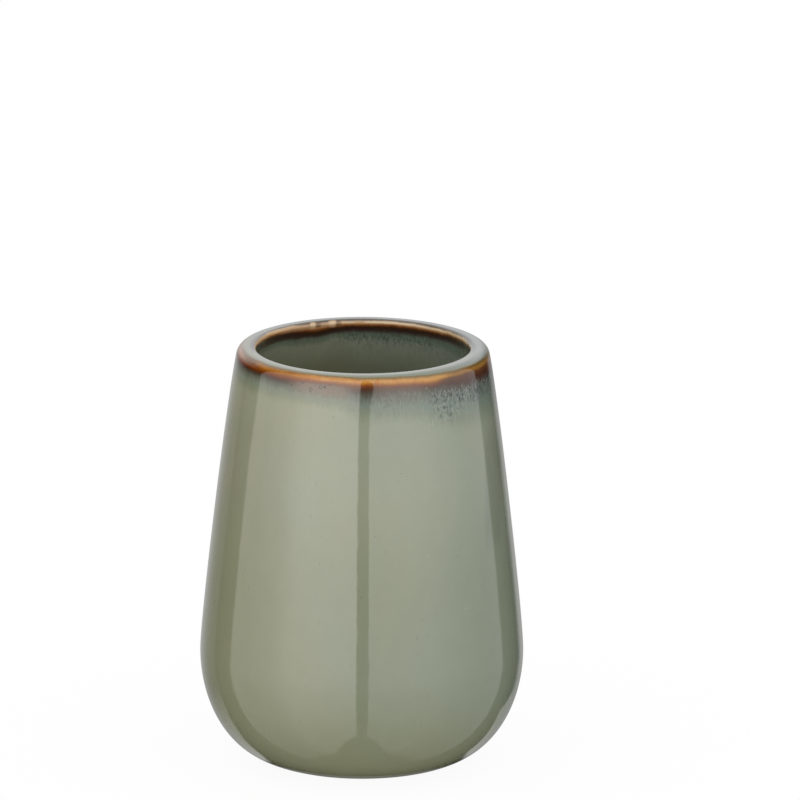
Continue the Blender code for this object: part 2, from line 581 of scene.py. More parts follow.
# Inside, the light tan stops from 1.78 to 2.30 mm, on the inner round of the lip, are a painted highlight
# of the panels laid over the glaze's brown line.
INNER_BAND_AND_HIGHLIGHT = [
    (0.00, CREST_GLAZE),
    (0.22, (0.120, 0.126, 0.108)),
    (0.50, (0.055, 0.058, 0.050)),
    (0.95, (0.050, 0.046, 0.036)),
    (1.25, (0.095, 0.068, 0.046)),
    (1.50, (0.170, 0.118, 0.076)),
    (1.78, (0.530, 0.378, 0.230)),
    (2.05, (0.620, 0.430, 0.225)),
    (2.30, (0.530, 0.310, 0.140)),
    (2.55, (0.400, 0.180, 0.065)),
    (2.80, (0.225, 0.075, 0.022)),
    (3.05, (0.105, 0.034, 0.009)),
    (3.30, (0.045, 0.018, 0.006)),
    (3.70, (0.034, 0.014, 0.009)),
    (4.10, (0.044, 0.025, 0.019)),
    (4.55, (0.064, 0.055, 0.042)),
    (5.00, (0.120, 0.142, 0.100)),
    (5.50, (0.135, 0.175, 0.125)),
    (6.20, (0.160, 0.195, 0.140)),
    (7.20, (0.245, 0.265, 0.200)),
    (9.00, (0.240, 0.265, 0.190)),
    (15.0, (0.200, 0.212, 0.140)),
]


def on_bands(reach, bands):
    stops = [(depth / BAND_REACH, colour) for depth, colour in bands]
    return reach.node("ShaderNodeValToRGB", {"stops": stops}, {0: reach})


def lay_bands(at):
    """The glaze's colour by its depth below the crest, outside the cup and inside, with a painted highlight
    on the inner round of the lip.
    """
    reach = at.broken / BAND_REACH
    slack = stepped(at.across, INNER_SLACK_STEPS)
    early = stepped(at.across, INNER_EARLY_STEPS) * at.depth.rise(0.0, 1.0)
    inner = on_bands(reach * (1.0 - slack) + early / BAND_REACH, INNER_BAND_AND_HIGHLIGHT)
    return shown(at.inside, on_bands(reach, OUTER_BAND), inner)


# The amber turns from orange to gold in upright streaks, and darkens at both ends.

ORANGE = (1.02, 0.92, 0.80)
GOLD = (1.12, 1.18, 1.50)
GOLD_TO_RIGHT = 0.20
GOLD_STREAKS = (0.34, 0.62)
AMBER_WINDOW = (2.0, 2.6, 4.2, 5.4)
DIM_WINDOW = (2.0, 2.6, 3.6, 4.4)
DIM_STEPS = [
    (-0.97, -0.91, 0.25),
    (-0.87, -0.80, -0.25),
    (-0.75, -0.84, 0.16),
    (-0.35, -0.60, 0.24),
    (0.60, 0.72, 0.42),
]


def warm_amber(at, colour):
    streaks = mottle(at.place, **STREAKS) + at.across * GOLD_TO_RIGHT
    hue = shown(streaks.rise(*GOLD_STREAKS), ORANGE, GOLD)
    amber = at.broken.hump(*AMBER_WINDOW) * at.outside
    colour = shown(amber, colour, tinted(colour, hue))
    return lightened(colour, 1.0 - stepped(at.across, DIM_STEPS) * at.broken.hump(*DIM_WINDOW))


# The crest is greyer at the right and at the back, and a brown haze hangs below the amber.

COOL_CREST = (0.185, 0.190, 0.190)
COOL_SHARE = 0.9
COOL_STEPS = [(0.45, 0.80, 0.5)]
COOL_BACK = (0.0, 0.02)
CREST_OUTER_END = (1.95, 1.60)
CREST_INNER_END = (0.55, 0.15)
HAZE = (0.205, 0.145, 0.108)
HAZE_WINDOW = (3.9, 5.4, 6.5, 10.5)
HAZE_STEPS = [(-0.62, -0.45, 0.75), (-0.20, -0.02, -0.75), (0.04, 0.20, 0.30), (0.40, 0.55, -0.30)]


def cool_crest(at, colour):
    cool = stepped(at.across, COOL_STEPS) + at.side.beside("Y").rise(*COOL_BACK)
    crest = shown_value(at.inside, at.broken.rise(*CREST_OUTER_END), at.depth.rise(*CREST_INNER_END))
    return shown(cool * crest * COOL_SHARE, colour, COOL_CREST)


def hang_haze(at, colour):
    haze = stepped(at.across, HAZE_STEPS) * at.front
    return shown(haze * at.broken.hump(*HAZE_WINDOW), colour, HAZE)


# The body is sage, deeper lower down, warmer at the left and cooler at the right. The lighter sage higher
# up is partly the glaze's own tone and partly a painted sheen of the panels, and the flank carries painted
# shade at the left and along its right edge.

SAGE_LOW = (0.212, 0.232, 0.157)
SAGE_STARTS = (11.0, 15.0)
SAGE_DEEPENS_AND_SHEEN_FADES = (24.0, 60.0)
WARM_TINT = (1.060, 1.000, 0.920)
TEAL_TINT = (0.950, 1.000, 1.070)
CLOUD_SHARE = 1.6
WARM_FOOT = (78.0, 104.0)
WARM_FOOT_SHARE = 0.9
FINE_TONE_SHARE = 0.10
LEFT_SHADE = 0.07
LEFT_SHADE_SIDE = (-0.35, -0.85)
LEFT_SHADE_WINDOW = (12.0, 20.0, 36.0, 50.0)
RIGHT_SHADE = 0.14
RIGHT_SHADE_SIDE = (0.94, 0.99, 1.07, 1.12)
RIGHT_SHADE_WINDOW = (15.0, 27.0, 44.0, 52.0)


def lay_body(at, colour):
    sage = shown(at.depth.rise(*SAGE_DEEPENS_AND_SHEEN_FADES), SAGE, SAGE_LOW)
    colour = shown(at.broken.rise(*SAGE_STARTS) * at.outside, colour, sage)
    cloud = mottle(at.place, **CLOUD) - 0.5
    leaning = at.side / CUP_SIZES["Belly Radius"] + cloud * CLOUD_SHARE
    leaning = leaning - at.depth.rise(*WARM_FOOT) * WARM_FOOT_SHARE
    colour = tinted(colour, shown(leaning.rise(-1.0, 1.0), WARM_TINT, TEAL_TINT))
    # Painted shade darkens the flank at the left and along the right edge.
    left = at.across.rise(*LEFT_SHADE_SIDE) * at.depth.hump(*LEFT_SHADE_WINDOW) * LEFT_SHADE
    right = at.across.hump(*RIGHT_SHADE_SIDE) * at.depth.hump(*RIGHT_SHADE_WINDOW) * RIGHT_SHADE
    return lightened(colour, 1.0 + at.fine_tone * FINE_TONE_SHARE - left - right)


# Below the amber the glaze curdled: thin threads and soft smudges, a dark bruise at the right, and
# grey pools full of dark and light flecks, thickest at the front right.

TEAL_SMUDGE = (0.100, 0.145, 0.125)
BRUISE = (0.060, 0.028, 0.022)
POOL_GREY = (0.135, 0.162, 0.148)
MAUVE_POOL = (0.125, 0.088, 0.072)
FLECK_DARK = (0.045, 0.058, 0.046)
FLECK_LIGHT = (0.330, 0.355, 0.310)
THREAD_SIDE = (0.46, 0.56, 0.74, 0.88)
THREAD_WINDOW = (6.5, 8.5, 12.0, 17.0)
THREAD_WANDER = 4.0
THREAD_DARK = (0.53, 0.63)
THREAD_DARK_SHARE = 0.38
THREAD_LIGHT = (0.47, 0.37)
THREAD_LIGHT_SHARE = 0.30
SMUDGE_SPOTS = (0.54, 0.66)
SMUDGE_STARTS = (5.5, 7.5)
SMUDGE_ENDS = (13.0, 9.0)
SMUDGE_WANDER = 3.0
SMUDGE_SIDE = (-0.6, 0.2)
SMUDGE_SHARE = 0.22
BRUISE_SIDE = (0.56, 0.66, 0.96, 1.02)
BRUISE_WINDOW = (3.1, 3.9, 5.8, 7.6)
BRUISE_SHARE = 0.68
BUSY_STEPS = [(-0.03, 0.14, 0.28), (0.48, 0.62, 0.90)]
BUSY_PATCHES = (0.54, 0.70)
BUSY_PATCH_SHARE = 0.35
BUSY_INSIDE_LOSS = 0.8
ZONE_STARTS = (4.8, 6.6)
ZONE_ENDS = (10.5, 4.5)
ZONE_WANDER = 2.0
TONGUE_DEPTH = 7.0
LONG_TONGUE_DEPTH = 2.0
LONG_TONGUE_SIDE = (0.54, 0.62, 0.68, 0.76)
THICK_SIDE = (0.62, 0.74, 0.92, 1.0)
THICK_WINDOW = (4.6, 5.6, 7.5, 9.5)
THICK_GAIN = 0.5
SPECK_SHARE = 0.72
POOL_BLOTCHES = (0.42, 0.58)
MAUVE_ENDS = (9.0, 6.0)
POOL_SHARE = 0.35
DARK_FLECKS = (0.53, 0.59)
DARK_FLECK_SHARE = 0.74
LIGHT_FLECKS = (0.46, 0.40)
LIGHT_FLECK_SHARE = 0.30
LINING_WINDOW = (4.4, 5.2, 6.0, 9.5)
LINING_FIRST = 0.25
LINING_STEPS = [(-0.30, -0.10, 1.0), (0.45, 0.70, -1.0)]
LINING_FLECKS = (0.48, 0.56)
LINING_SHARE = 0.40


def hang_threads(at, colour):
    threads = mottle(at.place, **THREADS)
    threaded = at.front * at.across.hump(*THREAD_SIDE)
    threaded = threaded * (at.depth + at.wander * THREAD_WANDER).hump(*THREAD_WINDOW)
    colour = shown(threads.rise(*THREAD_DARK) * threaded * THREAD_DARK_SHARE, colour, TEAL_SMUDGE)
    return shown(threads.rise(*THREAD_LIGHT) * threaded * THREAD_LIGHT_SHARE, colour, FLECK_LIGHT)


def smudge(at, colour):
    smudges = mottle(at.place, **SMUDGES).rise(*SMUDGE_SPOTS) * at.across.rise(*SMUDGE_SIDE)
    smudges = smudges * at.broken.rise(*SMUDGE_STARTS)
    smudges = smudges * (at.depth + at.wander * SMUDGE_WANDER).rise(*SMUDGE_ENDS)
    return shown(smudges * SMUDGE_SHARE, colour, TEAL_SMUDGE)


def bruise_right(at, colour):
    bruise = at.across.hump(*BRUISE_SIDE) * at.front * at.broken.hump(*BRUISE_WINDOW)
    return shown(bruise * BRUISE_SHARE, colour, BRUISE)


def mottled_zone(at):
    """How strongly the glaze is mottled: it hangs below the amber in tongues of uneven length."""
    patches = mottle(at.place, **PATCHES).rise(*BUSY_PATCHES) * BUSY_PATCH_SHARE
    busy = (stepped(at.across, BUSY_STEPS) + patches) * (1.0 - at.inside * BUSY_INSIDE_LOSS)
    tongues = mottle(at.place, **TONGUES) * TONGUE_DEPTH
    tongues = tongues + at.across.hump(*LONG_TONGUE_SIDE) * LONG_TONGUE_DEPTH
    upper = (at.broken + at.wander).rise(*ZONE_STARTS)
    lower = (at.depth + at.wander * ZONE_WANDER - tongues).rise(*ZONE_ENDS)
    thick = at.across.hump(*THICK_SIDE) * at.broken.hump(*THICK_WINDOW) * THICK_GAIN
    return upper * lower * busy * (1.0 + thick)


def fleck(at, colour):
    """Lays the mottling. Also returns how strongly each dark fleck shows, because it is duller."""
    zone = mottled_zone(at)
    flecks = at.specks * SPECK_SHARE + at.blotches * (1.0 - SPECK_SHARE)
    dark = flecks.rise(*DARK_FLECKS) * zone
    light = flecks.rise(*LIGHT_FLECKS) * zone
    mauve = at.blotches.rise(*POOL_BLOTCHES) * at.depth.rise(*MAUVE_ENDS)
    colour = shown(zone * POOL_SHARE, colour, shown(mauve, POOL_GREY, MAUVE_POOL))
    colour = shown(dark * DARK_FLECK_SHARE, colour, FLECK_DARK)
    colour = shown(light * LIGHT_FLECK_SHARE, colour, FLECK_LIGHT)
    lining = stepped(at.across, LINING_STEPS, LINING_FIRST) * at.inside * at.depth.hump(*LINING_WINDOW)
    return shown(flecks.rise(*LINING_FLECKS) * lining * LINING_SHARE, colour, FLECK_DARK), dark


# Just inside the back of the lip the brown line, with the painted highlight of the inner band on it, is
# paler at the left, and two pale drips run over it, each with a shade beside it. The inner edge of the
# front lip is paler than the crest glaze, a painted reflection.

TAN_BROWN = (0.520, 0.290, 0.150)
TAN_HIGHLIGHT_WINDOW = (1.0, 1.5, 2.6, 3.2)
TAN_STARTS = (1.4, 1.9)
TAN_SIDE = (-0.70, -0.60, -0.24, -0.12)
TAN_SHARE = 0.55
PALE_DRIP = (0.760, 0.540, 0.330)
DRIP_PLACES = [(-0.0125, 0.00060), (-0.0076, 0.00070)]
DRIP_WAVER = 0.0009
DRIP_EDGE = (1.7, 0.4)
DRIP_WINDOW = (0.9, 1.7, 2.1, 3.5)
DRIP_SHARE = 0.85
DRIP_SHADE = (0.130, 0.052, 0.018)
DRIP_SHADE_SIDE = 0.00145
DRIP_SHADE_EDGE = (1.5, 0.5)
DRIP_SHADE_SHARE = 0.65
FRONT_CREST_REFLECTION = (0.270, 0.285, 0.225)
FRONT_CREST_REFLECTION_END = (1.1, 0.5)
FRONT_CREST_REFLECTION_SHARE = 0.8


def run_drips(at, colour):
    back_lip = at.inside * at.back
    tan_highlight_line = back_lip * at.depth.hump(*TAN_HIGHLIGHT_WINDOW)
    tan = tan_highlight_line * at.depth.rise(*TAN_STARTS) * at.across.hump(*TAN_SIDE)
    colour = shown(tan * TAN_SHARE, colour, TAN_BROWN)
    for middle, half in DRIP_PLACES:
        off_drip = at.side - middle + at.runs * DRIP_WAVER
        pale = (abs(off_drip) / half).rise(*DRIP_EDGE) * at.depth.hump(*DRIP_WINDOW)
        shade = (abs(off_drip - DRIP_SHADE_SIDE) / half).rise(*DRIP_SHADE_EDGE)
        colour = shown(shade * tan_highlight_line * DRIP_SHADE_SHARE, colour, DRIP_SHADE)
        colour = shown(pale * back_lip * DRIP_SHARE, colour, PALE_DRIP)
    # Painted reflection: the inner edge of the front lip is lightened.
    front_lip_reflection = at.inside * at.front * at.depth.rise(*FRONT_CREST_REFLECTION_END)
    return shown(front_lip_reflection * FRONT_CREST_REFLECTION_SHARE, colour, FRONT_CREST_REFLECTION)


# Small faults of the firing: dark dashes and pinholes on the body, and rings where bubbles burst below the
# amber at the front left. The dark bottom of each pinhole is painted shade.

DASH_SPOTS = (0.70, 0.76)
DASH_STARTS = (8.0, 11.0)
DASH_SHARE = 0.28
PIT_SPACING_MM = 3.2
PIT_CHANCE = (0.80, 0.82)
PIT_EDGE = (0.030, 0.060)
PIT_RIM = (0.045, 0.07, 0.08, 0.12)
PIT_SHADE = (0.050, 0.052, 0.040)
PIT_SHADE_SHARE = 0.72
PIT_RIM_SHARE = 0.30
BUBBLE_SPACING_MM = 1.6
BUBBLE_RING = (0.14, 0.21, 0.27, 0.34)
BUBBLE_GAPS = (0.34, 0.46)
BUBBLE_SIDE = (-0.62, -0.54, -0.24, -0.18)
BUBBLE_WINDOW = (4.0, 4.4, 6.2, 6.8)
BUBBLE_RIM = (0.060, 0.040, 0.026)
BUBBLE_SHARE = 0.95


def from_nearest(place, spacing_mm):
    """How far a point lies from the nearest of many scattered spots, as a share of their spacing."""
    return place.node(
        "ShaderNodeTexVoronoi",
        {"feature": "F1"},
        {"Vector": place, "Scale": MILLIMETRES / spacing_mm, "Randomness": 1.0},
        out="Distance",
    )


def pit(at, colour):
    """Lays the faults. Also returns how deep each pinhole is."""
    dashes = mottle(at.place, **DASHES).rise(*DASH_SPOTS) * at.depth.rise(*DASH_STARTS)
    colour = shown(dashes * DASH_SHARE, colour, FLECK_DARK)
    bubbles = from_nearest(at.place, BUBBLE_SPACING_MM).hump(*BUBBLE_RING)
    bubbles = bubbles * at.specks.rise(*BUBBLE_GAPS) * at.depth.hump(*BUBBLE_WINDOW)
    colour = shown(bubbles * at.across.hump(*BUBBLE_SIDE) * at.front * BUBBLE_SHARE, colour, BUBBLE_RIM)
    off_pit = from_nearest(at.place, PIT_SPACING_MM)
    chance = at.place.node("ShaderNodeSeparateColor", None, {0: off_pit.beside("Color")})
    pitted = chance.rise(*PIT_CHANCE)
    pits = (1.0 - off_pit.rise(*PIT_EDGE)) * pitted
    colour = shown(off_pit.hump(*PIT_RIM) * pitted * PIT_RIM_SHARE, colour, FLECK_LIGHT)
    # Painted shade darkens the bottom of each pinhole.
    return shown(pits * PIT_SHADE_SHARE, colour, PIT_SHADE), pits


# The foot ring is wiped clean of glaze before the firing, and stays matt and grainy.

BARE_HEIGHT_MM = (1.00, 0.90)
BARE_CLAY = (0.470, 0.370, 0.255)
DARK_CLAY = (0.380, 0.290, 0.195)
CLAY_SPOTS = (0.3, 0.7)
RIPPLE_DEPTH = 0.00005
PIT_DEPTH = 0.00002
CLAY_GRAIN_DEPTH = 0.00006
GLAZE_ROUGHNESS = 0.045
FINE_ROUGHNESS = 0.03
FLECK_ROUGHNESS = 0.30
CLAY_ROUGHNESS = 0.78
FLECK_COAT_LOSS = 0.85


def paint_glaze(start):
    at = CupWires(start)
    colour = warm_amber(at, lay_bands(at))
    colour = hang_haze(at, cool_crest(at, colour))
    colour = lay_body(at, colour)
    colour = smudge(at, hang_threads(at, colour))
    colour, dark = fleck(at, bruise_right(at, colour))
    colour, pits = pit(at, run_drips(at, colour))
    bare = at.height.rise(*BARE_HEIGHT_MM)
    clay = mottle(at.place, **CLAY_GRAIN)
    colour = shown(bare, colour, shown(clay.rise(*CLAY_SPOTS), BARE_CLAY, DARK_CLAY))
    relief = mottle(at.place, **RIPPLE) * RIPPLE_DEPTH - pits * PIT_DEPTH + clay * bare * CLAY_GRAIN_DEPTH
    roughness = GLAZE_ROUGHNESS + at.fine_tone * FINE_ROUGHNESS
    return {
        "Base Color": colour,
        "Roughness": roughness + dark * FLECK_ROUGHNESS + bare * CLAY_ROUGHNESS,
        "Normal": raised(relief),
        "IOR": 1.55,
        "Coat Weight": (1.0 - bare) * (1.0 - dark * FLECK_COAT_LOSS),
        "Coat Roughness": 0.02,
        "Coat IOR": 1.5,
    }


def raised(relief):
    """The normal of a surface with this relief, given in metres."""
    return relief.node("ShaderNodeBump", None, {"Strength": 1.0, "Distance": 1.0, "Height": relief})


cup = make_cup(finish_of("sage_glaze", paint_glaze))
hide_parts("stoneware_cup")
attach(cup, "root")

# The pads
# Four equal discs of clear silicone keep the glazed foot off a shelf, one on each side. Each
# is moulded with softened edges and stuck to the flat recess with a thin adhesive film.

PAD_SIZES = {
    "Pad Radius": 0.0045,
    "Pad Thickness": 0.0020,
    "Edge Round": 0.0005,
    "Film Radius": 0.0042,
    "Film Thickness": 0.0003,
    "Circle Radius": 0.0135,
    "Count": 4,
    "Around": 48,
    "Rows": 4,
}
CLEAR_SILICONE = (0.60, 0.62, 0.60)
DUSTY_SILICONE = (0.50, 0.49, 0.45)
DUST = {"size_mm": 0.8, "detail": 4.0, "roughness": 0.6}
DUST_SPOTS = (0.45, 0.75)
DUST_SHARE = 0.35
DUST_ROUGHNESS = 0.18
MOULD_GRAIN = {"size_mm": 0.12}
MOULD_GRAIN_DEPTH = 0.00001
SILICONE_ROUGHNESS = 0.38


def make_pads(material):
    size = new_shape("ring_of_pads", PAD_SIZES)
    edge = size["Edge Round"]
    rim = size["Pad Radius"] - edge
    lower = round_edge((rim, edge), edge, -QUARTER, 0.0, size["Rows"])
    upper = round_edge((rim, size["Pad Thickness"] - edge), edge, 0.0, QUARTER, size["Rows"])
    film_foot = (size["Film Radius"], size["Pad Thickness"])
    film_top = (size["Film Radius"], size["Pad Thickness"] + size["Film Thickness"])
    turned, _ = turned_profile(
        size,
        [
            straight((0.0, 0.0), lower[0], size["Rows"]),
            lower,
            straight(lower[3], upper[0], size["Rows"]),
            upper,
            straight(upper[3], film_foot, size["Rows"]),
            straight(film_foot, film_top, size["Rows"]),
            straight(film_top, (0.0, film_top[1]), size["Rows"]),
        ],
    )
    ring = {"Vertices": size["Count"], "Radius": size["Circle Radius"]}
    circle = turned.node("GeometryNodeMeshCircle", None, ring)
    pads = turned.node("GeometryNodeInstanceOnPoints", None, {"Points": circle, "Instance": turned})
    whole = turned.node("GeometryNodeRealizeInstances", None, {"Geometry": pads})
    dressed = whole.node("GeometryNodeSetMaterial", None, {"Geometry": whole, "Material": size["Material"]})
    return made_piece("silicone_pads", PAD_SIZES, material, dressed)


def paint_silicone(start):
    place = start.node("ShaderNodeTexCoord", out="Object")
    dust = mottle(place, **DUST)
    return {
        "Base Color": shown(dust.rise(*DUST_SPOTS) * DUST_SHARE, CLEAR_SILICONE, DUSTY_SILICONE),
        "Roughness": SILICONE_ROUGHNESS + dust * DUST_ROUGHNESS,
        "Normal": raised(mottle(place, **MOULD_GRAIN) * MOULD_GRAIN_DEPTH),
        "IOR": 1.41,
        "Transmission Weight": 0.45,
    }


pads = make_pads(finish_of("clear_silicone", paint_silicone))
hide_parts("foot_pad_front", "foot_pad_right", "foot_pad_back", "foot_pad_left")
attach(pads, "root")

# The studio
# A pale floor in an even white room. The glaze mirrors two tall soft panels, which stand to the
# left and the right of the camera with a narrow gap between them, and a grey wall behind.

WHITE = (1.0, 1.0, 1.0, 1.0)
ROOM_LIGHT = 1.06
ROOM_LIGHT_FRONT = 0.22
ROOM_LIGHT_LEFT = 0.05


def seen_white(start):
    """1 for the rays that see the room or the floor as plain white, and 0 for those it lights."""
    ray = start.node("ShaderNodeLightPath", out="Is Camera Ray")
    return ray + ray.beside("Is Glossy Ray") + ray.beside("Is Transmission Ray")


def light_room():
    """An even white room, a little brighter in front and at the left."""
    world = bpy.data.worlds.new("white_room")
    bpy.context.scene.world = world
    world.use_nodes = True
    world.node_tree.nodes.clear()
    way = Wire(world.node_tree).node("ShaderNodeTexCoord", out="Generated")
    side = way.node("ShaderNodeSeparateXYZ", None, {0: way})
    level = ROOM_LIGHT - side.beside("Y") * ROOM_LIGHT_FRONT - side * ROOM_LIGHT_LEFT
    soft = way.node("ShaderNodeBackground", None, {"Color": WHITE, "Strength": level})
    white = way.node("ShaderNodeBackground", None, {"Color": WHITE, "Strength": 1.0})
    mixed = way.node("ShaderNodeMixShader", None, {0: seen_white(way), 1: soft, 2: white})
    way.node("ShaderNodeOutputWorld", None, {"Surface": mixed})


def empty_finish(name):
    """A material with no nodes yet, and a wire to start them from."""
    material = bpy.data.materials.new(name)
    material.use_nodes = True
    material.node_tree.nodes.clear()
    return material, Wire(material.node_tree)


def put_up(name, mesh, material):
    mesh.materials.append(material)
    piece = bpy.data.objects.new(name, mesh)
    bpy.context.scene.collection.objects.link(piece)
    return piece


def hide_but_from_gloss(piece):
    for kind in ("camera", "diffuse", "transmission", "volume_scatter", "shadow"):
        setattr(piece, f"visible_{kind}", False)


# The two panels. Each direction is its turn from the front, up to 180 degrees to the right and
# -180 to the left, and its rise above level in degrees.

FULL_TURN = 360.0
FULL_RISE = 180.0
PANEL_STRENGTH = 2.0
DARK = (0.0, 0.0, 0.0)
PANELS_ROUND = [
    (-107.5, DARK),
    (-106.5, (0.34, 0.33, 0.31)),
    (-90.0, (0.38, 0.37, 0.36)),
    (-78.0, (0.48, 0.47, 0.46)),
    (-70.0, (0.54, 0.53, 0.51)),
    (-62.0, (0.66, 0.65, 0.63)),
    (-54.0, (0.80, 0.79, 0.76)),
    (-42.0, (0.86, 0.85, 0.81)),
    (-25.0, (0.84, 0.83, 0.79)),
    (-3.0, (0.78, 0.77, 0.73)),
    (3.0, (0.55, 0.56, 0.53)),
    (38.0, (0.58, 0.59, 0.56)),
    (53.0, (0.54, 0.55, 0.53)),
    (70.0, (0.43, 0.44, 0.42)),
    (87.0, (0.32, 0.33, 0.32)),
    (105.0, (0.27, 0.27, 0.27)),
    (118.8, (0.27, 0.27, 0.27)),
    (120.4, DARK),
]
PANELS_UP_AND_DOWN = [
    (-90.0, (0.08, 0.08, 0.08)),
    (-76.0, (0.12, 0.12, 0.12)),
    (-66.0, (0.22, 0.22, 0.21)),
    (-57.0, (0.29, 0.29, 0.28)),
    (-46.0, (0.38, 0.38, 0.37)),
    (-38.0, (0.49, 0.49, 0.48)),
    (-30.0, (0.58, 0.58, 0.58)),
    (-22.0, (0.66, 0.66, 0.66)),
    (-15.0, (0.73, 0.73, 0.73)),
    (-10.0, (0.83, 0.83, 0.83)),
    (-4.0, (1.0, 1.0, 1.0)),
]
PANEL_LEAN_STEPS = [(-15.0, 0.0, 0.012), (-2.5, 5.5, 0.036)]
PANEL_LEFT_LEAN_STEPS = [(-6.2, -4.4, 0.020)]
PANEL_FOOT = -51.0
PANEL_FOOT_STEPS = [(-2.0, 44.0, -20.0)]
PANEL_FOOT_BLUR = 1.5
GAP_MIDDLE = 0.60
GAP_HALF = 4.40
GAP_FLARE = 1.1
GAP_TURN = 3.0
GAP_TOP = (0.0, 7.5)
GAP_BLUR = 0.5
GAP_GLOW = (0.06, 0.06, 0.06)
GAP_GLOW_STARTS = (-24.0, -12.0)


def by_degrees(angle, reach, tones):
    """The tone that stands at an angle, from stops in degrees, half the reach to each side of 0."""
    stops = [(at / reach + 0.5, tone) for at, tone in tones]
    return angle.node("ShaderNodeValToRGB", {"stops": stops}, {0: angle / reach + 0.5})


def panel_tones(turn, rise, on_left):
    lean = stepped(rise, PANEL_LEAN_STEPS) + on_left * stepped(rise, PANEL_LEFT_LEAN_STEPS)
    panels = by_degrees(turn * (1.0 + lean), FULL_TURN, PANELS_ROUND)
    panels = tinted(panels, by_degrees(rise, FULL_RISE, PANELS_UP_AND_DOWN))
    above_foot = rise - stepped(abs(turn), PANEL_FOOT_STEPS, PANEL_FOOT)
    panels = shown(above_foot.rise(-PANEL_FOOT_BLUR, PANEL_FOOT_BLUR), DARK, panels)
    flare = rise.rise(*GAP_TOP)
    from_gap = abs(turn - GAP_MIDDLE - flare * GAP_TURN) - GAP_HALF - flare * GAP_FLARE
    gap = shown(rise.rise(*GAP_GLOW_STARTS), DARK, GAP_GLOW)
    return shown(from_gap.rise(-GAP_BLUR, GAP_BLUR), gap, panels)


# The wall behind. Its lower edge rises and falls round the room, and towards the panels it fades
# in one way at the left and in another at the right.

WALL_FOOT = [
    (-180.0, -17.0),
    (-171.0, -31.0),
    (-167.0, -35.3),
    (-162.0, -38.8),
    (-156.0, -41.5),
    (-150.0, -41.5),
    (-144.0, -39.5),
    (-137.5, -37.0),
    (-133.0, -32.0),
    (-130.0, -27.0),
    (-128.5, 10.0),
    (136.0, 10.0),
    (139.0, -30.0),
    (145.0, -33.5),
    (149.5, -36.5),
    (153.0, -39.5),
    (157.0, -38.5),
    (163.0, -35.5),
    (171.0, -29.0),
    (180.0, -17.0),
]
FOOT_LOW = -50.0
FOOT_HIGH = 10.0
WALL_FOOT_BLUR = 1.2
WALL_UP_AND_DOWN = [
    (-40.0, (0.245, 0.245, 0.245)),
    (-36.0, (0.235, 0.235, 0.235)),
    (-33.0, (0.215, 0.215, 0.215)),
    (-30.0, (0.18, 0.18, 0.18)),
    (-27.0, (0.166, 0.166, 0.166)),
    (-24.0, (0.165, 0.165, 0.165)),
    (-20.0, (0.176, 0.176, 0.176)),
    (-17.0, (0.215, 0.215, 0.215)),
    (-13.0, (0.232, 0.232, 0.232)),
    (0.0, (0.25, 0.25, 0.25)),
    (8.0, (0.36, 0.362, 0.365)),
    (16.0, (0.385, 0.387, 0.39)),
    (60.0, (0.40, 0.40, 0.40)),
]
WALL_TURN = (126.0, 172.0)
WALL_UPPER = (-9.0, -2.0)
LEFT_WALL_STEPS = [(-22.0, -30.0, 0.38)]
LEFT_WALL_LEVEL = 0.2
LEFT_NEARER_STEPS = [(-6.0, 2.0, 8.0), (4.0, 14.0, 10.0)]
RIGHT_WALL_LEVEL = 0.84
RIGHT_WALL_TURN = (145.5, 157.5)
RIGHT_WALL_STEPS = [(-14.5, -11.0, -0.28)]
RIGHT_BASE_LEVEL = 0.92
RIGHT_BASE_TOP = -28.0
RIGHT_BASE_STEPS = [(138.0, 152.0, 6.0)]
RIGHT_BASE_BLUR = 1.0
RIGHT_NEARER = -13.0
RIGHT_NEARER_STEPS = [(8.0, 45.0, 58.0)]
OVERHEAD = (0.36, 0.355, 0.34)
OVERHEAD_STARTS = (54.0, 68.0)


def wall_share(turn, rise, on_left):
    """How much of each direction the wall fills, and the panels leave to it."""
    off_front = abs(turn)
    levels = [(at, ((foot - FOOT_LOW) / (FOOT_HIGH - FOOT_LOW),) * 3) for at, foot in WALL_FOOT]
    level = turn.node("ShaderNodeSeparateColor", None, {0: by_degrees(turn, FULL_TURN, levels)})
    above_foot = rise - (level * (FOOT_HIGH - FOOT_LOW) + FOOT_LOW)
    left = stepped(rise, LEFT_WALL_STEPS, LEFT_WALL_LEVEL)
    left = shown_value(off_front.rise(*WALL_TURN), left, 1.0)
    right = off_front.rise(*RIGHT_WALL_TURN) * RIGHT_WALL_LEVEL
    above_base = rise - stepped(off_front, RIGHT_BASE_STEPS, RIGHT_BASE_TOP)
    right = shown_value(above_base.rise(-RIGHT_BASE_BLUR, RIGHT_BASE_BLUR), RIGHT_BASE_LEVEL, right)
    right = right * stepped(rise, RIGHT_WALL_STEPS, 1.0)
    lower = shown_value(on_left, right, left) * above_foot.rise(-WALL_FOOT_BLUR, WALL_FOOT_BLUR)
    nearer = shown_value(
        on_left, stepped(rise, RIGHT_NEARER_STEPS, RIGHT_NEARER), stepped(rise, LEFT_NEARER_STEPS)
    )
    return shown_value(rise.rise(*WALL_UPPER), lower, (off_front + nearer).rise(*WALL_TURN))


ROOM_RADIUS = 20.0


